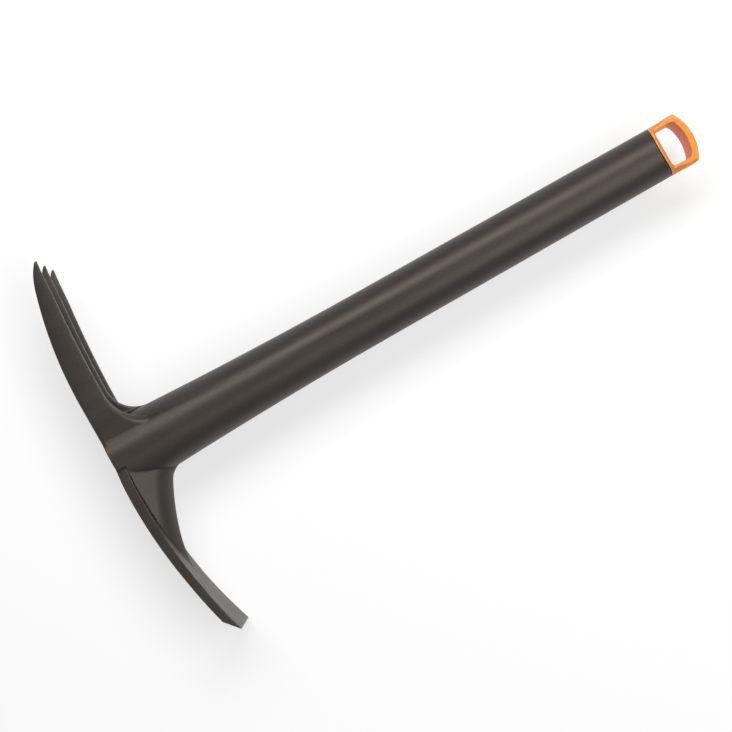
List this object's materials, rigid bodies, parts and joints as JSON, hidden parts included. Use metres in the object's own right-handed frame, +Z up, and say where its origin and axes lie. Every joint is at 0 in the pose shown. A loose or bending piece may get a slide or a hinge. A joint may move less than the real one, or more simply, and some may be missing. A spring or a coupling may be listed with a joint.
{
  "type": "planters hoe",
  "caption": "Short-handled planters hoe in moulded plastic: fork on one side of the head, curved hoe blade with a stiffening web on the other, end cap with a hanging eye.",
  "frame": {"origin": "centre of the bounding box in X and Y, on the ground plane the tool lies on", "axes": "+X runs along the handle from the head to the hanging eye, +Y points the way the tines do, +Z points up, across the blade"},
  "size_m": [0.3942, 0.2434, 0.052],
  "materials": {
    "moulded_grey": "dark brown-grey glass-fibre-reinforced nylon with a fine moulded texture",
    "moulded_orange": "orange nylon, satin"
  },
  "bodies": {
    "root": {"hoe_body": "moulded_grey", "end_cap": "moulded_orange"}
  },
  "joints": []
}
